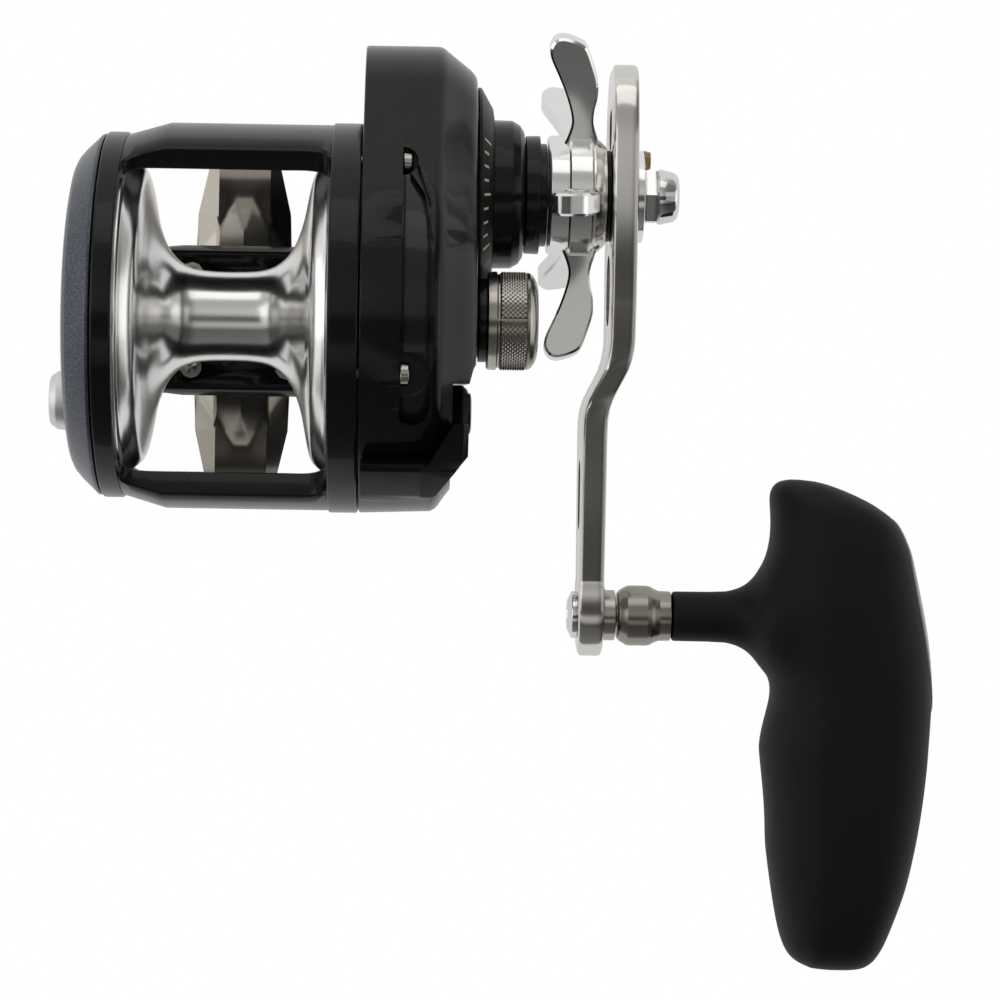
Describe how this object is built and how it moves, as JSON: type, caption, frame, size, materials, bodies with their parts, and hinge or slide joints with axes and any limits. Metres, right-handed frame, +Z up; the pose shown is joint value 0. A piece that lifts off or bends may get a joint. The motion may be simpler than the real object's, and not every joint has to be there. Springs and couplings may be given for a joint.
{
  "type": "trolling reel",
  "caption": "Star-drag conventional fishing reel with a spool between side plates, a cranked handle with a power grip, a thumb clutch lever and a click button.",
  "frame": {"origin": "centre of the flat strip under the reel foot", "axes": "+X along the spool axis towards the crank, +Y forward towards the rod tip, +Z up out of the rod"},
  "size_m": [0.1824, 0.19, 0.0882],
  "materials": {
    "arm_aluminium": "satin",
    "black_gloss": "gloss",
    "black_satin": "satin",
    "brass": "satin",
    "bronze": "satin",
    "carbon": "matte",
    "chrome": "polished",
    "grip_rubber": "matte",
    "inlay": "satin",
    "nickel": "satin",
    "polished_aluminium": "polished",
    "satin_aluminium": "satin",
    "slate_paint": "satin",
    "spring_steel": "satin",
    "steel": "satin"
  },
  "bodies": {
    "reel": {"click_spring": "spring_steel", "drive_bearing": "steel", "foot_screw_1": "nickel", "foot_screw_2": "nickel", "foot_screw_3": "nickel", "foot_screw_4": "nickel", "frame": "black_gloss", "gear_housing": "black_gloss", "gear_plate": "satin_aluminium", "housing_screw_1": "nickel", "housing_screw_2": "nickel", "housing_screw_3": "nickel", "housing_screw_4": "nickel", "index_ring": "black_satin", "left_plate_screw_1": "steel", "left_plate_screw_2": "steel", "left_plate_screw_3": "steel", "left_side_plate": "slate_paint", "left_spool_bearing": "steel", "nose_cap": "black_gloss", "pinion_bearing": "steel", "reel_foot": "nickel", "right_spool_bearing": "steel", "roller_clutch": "steel"},
    "spool": {"spool": "polished_aluminium", "click_gear": "steel", "spool_shaft": "steel", "spool_drive_pin": "steel"},
    "clicker": {"click_button": "satin_aluminium", "click_pawl": "steel"},
    "pinion": {"pinion": "brass"},
    "yoke": {"yoke": "steel", "yoke_spring_1": "spring_steel", "yoke_spring_2": "spring_steel"},
    "cam": {"clutch_cam": "steel"},
    "lever": {"clutch_lever": "black_gloss", "lever_pivot": "black_gloss"},
    "crank": {"drive_shaft": "steel", "ratchet": "steel", "main_gear": "bronze", "drag_washer_1": "carbon", "metal_washer": "steel", "drag_washer_2": "carbon", "pressure_plate": "steel", "spring_washer": "spring_steel", "drag_sleeve": "steel", "arm_spacer": "black_satin", "handle_arm": "arm_aluminium", "nut_retainer": "satin_aluminium", "retainer_screw": "brass", "handle_nut": "chrome", "knob_post": "chrome", "knob_collar": "nickel"},
    "star": {"star_wheel": "satin_aluminium"},
    "knob": {"grip": "grip_rubber", "grip_ferrule": "nickel", "knob_bearing": "steel", "grip_inlay": "inlay"},
    "tension": {"tension_knob": "nickel"},
    "dog": {"anti_reverse_dog": "steel"}
  },
  "joints": [
    {"name": "crank_turn", "type": "hinge", "parent": "reel", "child": "crank", "pos_m": [0, 0.0264, 0.036], "axis": [-1, 0, 0], "continuous": true},
    {"name": "spool_spin", "type": "hinge", "parent": "reel", "child": "spool", "pos_m": [0, 0, 0.048], "axis": [-1, 0, 0], "continuous": true},
    {"name": "clutch_lever", "type": "hinge", "parent": "reel", "child": "lever", "pos_m": [0, -0.0188, 0.058], "axis": [1, 0, 0], "range_deg": [0, 20]},
    {"name": "cam_turn", "type": "hinge", "parent": "reel", "child": "cam", "pos_m": [0, 0, 0.048], "axis": [1, 0, 0], "range_deg": [-18, 0]},
    {"name": "yoke_slide", "type": "slide", "parent": "reel", "child": "yoke", "axis": [1, 0, 0], "range_m": [0, 0.0022]},
    {"name": "pinion_spin", "type": "hinge", "parent": "yoke", "child": "pinion", "pos_m": [0, 0, 0.048], "axis": [-1, 0, 0], "continuous": true},
    {"name": "star_turn", "type": "hinge", "parent": "crank", "child": "star", "pos_m": [0, 0.0264, 0.036], "axis": [1, 0, 0], "range_deg": [-180, 180]},
    {"name": "knob_spin", "type": "hinge", "parent": "crank", "child": "knob", "pos_m": [0, -0.06, 0.036], "axis": [-1, 0, 0], "continuous": true},
    {"name": "cast_control_turn", "type": "hinge", "parent": "reel", "child": "tension", "pos_m": [0, 0, 0.048], "axis": [1, 0, 0], "range_deg": [-180, 180]},
    {"name": "click_slide", "type": "slide", "parent": "reel", "child": "clicker", "axis": [0, 0.8682, 0.4961], "range_m": [0, 0.0035]},
    {"name": "dog_pivot", "type": "hinge", "parent": "reel", "child": "dog", "pos_m": [0, 0.02371, 0.02073], "axis": [1, 0, 0], "range_deg": [0, 7]}
  ],
  "couplings": [
    {"joint": "spool_spin", "follows": "crank_turn", "ratio": -4.6},
    {"joint": "pinion_spin", "follows": "crank_turn", "ratio": -4.6},
    {"joint": "cam_turn", "follows": "clutch_lever", "ratio": -0.886},
    {"joint": "yoke_slide", "follows": "clutch_lever", "m_per_rad": 0.0063}
  ]
}
